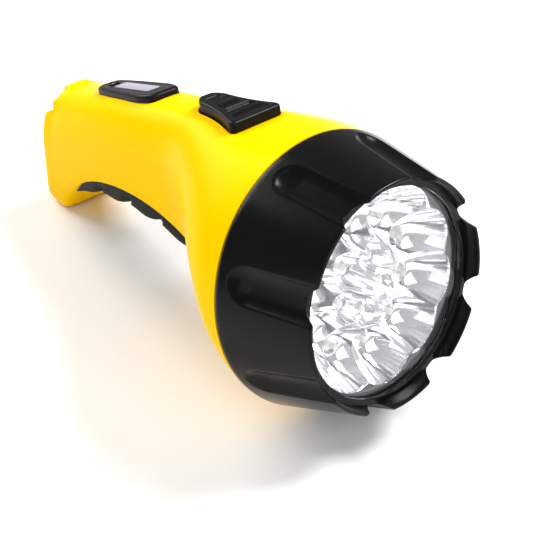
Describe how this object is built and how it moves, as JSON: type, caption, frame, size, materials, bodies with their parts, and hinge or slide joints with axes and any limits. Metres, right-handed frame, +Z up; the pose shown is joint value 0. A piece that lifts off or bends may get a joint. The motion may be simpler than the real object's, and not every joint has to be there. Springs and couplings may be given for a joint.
{
  "type": "rechargeable hand lamp",
  "caption": "Rechargeable LED hand lamp with a funnel body, arched handle with finger grip, fluted screw-on head ring, slide switch and a sliding mains plug.",
  "frame": {"origin": "middle of the lamp's box on the plane it stands on, in its resting pose on the head ring's rear edge and the foot", "axes": "+X where the beam points on the floor plan (the beam itself rises 13.9 degrees), +Y to the lamp's left, +Z up"},
  "size_m": [0.1955, 0.09, 0.0874],
  "materials": {
    "yellow_shell": "gloss moulded plastic",
    "black_ring": "satin moulded plastic",
    "clear_lens": "clear moulded plastic",
    "soft_rubber": "smooth",
    "chromed_cups": "vacuum-metallised",
    "green_board": "solder mask",
    "led_resin": "clear epoxy",
    "screw_steel": "zinc plated",
    "black_trim": "fine texture",
    "white_lever": "plain",
    "switch_can": "stamped",
    "pale_card": "blank laminated card",
    "red_resin": "tinted epoxy",
    "grip_rubber": "fine texture",
    "battery_case": "plain",
    "tinned_tab": "tinned",
    "grey_foam": "foam",
    "red_film": "dipped",
    "black_epoxy": "moulded",
    "tan_resistor": "lacquered",
    "plated_pin": "nickel plated",
    "spring_brass": "plain",
    "red_lead": "insulated",
    "black_lead": "insulated"
  },
  "bodies": {
    "lamp_body": {"body_right": "yellow_shell", "body_left": "yellow_shell", "reflector": "chromed_cups", "led_board": "green_board", "leds": "led_resin", "board_screws": "screw_steel", "slide_switch": "switch_can", "label_plate": "black_trim", "label_card": "pale_card", "charge_led": "red_resin", "grip_insert": "grip_rubber", "battery": "battery_case", "battery_terminals": "tinned_tab", "battery_pad": "grey_foam", "charger_board": "green_board", "dropper_capacitor": "red_film", "rectifier_diodes": "black_epoxy", "board_resistors": "tan_resistor", "charge_contacts": "spring_brass", "body_screws": "screw_steel", "battery_leads": "red_lead", "lamp_leads": "black_lead"},
    "lens_stack": {"lens": "clear_lens", "lens_gasket": "soft_rubber"},
    "head_ring": {"head_ring": "black_ring"},
    "switch_slider": {"switch_button": "black_trim", "switch_lever": "white_lever"},
    "mains_plug": {"plug_carriage": "black_trim", "plug_thumb_slide": "black_trim", "plug_pins": "plated_pin"}
  },
  "joints": [
    {"name": "ring_advance", "type": "slide", "parent": "lamp_body", "child": "lens_stack", "axis": [0.9707, 0, 0.2402], "range_m": [0, 0.009]},
    {"name": "ring_twist", "type": "hinge", "parent": "lens_stack", "child": "head_ring", "pos_m": [0.05932, 0, 0.04368], "axis": [0.9707, 0, 0.2402], "range_deg": [0, 1080]},
    {"name": "switch_slide", "type": "slide", "parent": "lamp_body", "child": "switch_slider", "axis": [0.9707, 0, 0.2402], "range_m": [0, 0.005]},
    {"name": "plug_slide", "type": "slide", "parent": "lamp_body", "child": "mains_plug", "axis": [-1, 0, 0], "range_m": [0, 0.018]}
  ],
  "couplings": [
    {"joint": "ring_advance", "follows": "ring_twist", "m_per_rad": 0.00047746}
  ]
}
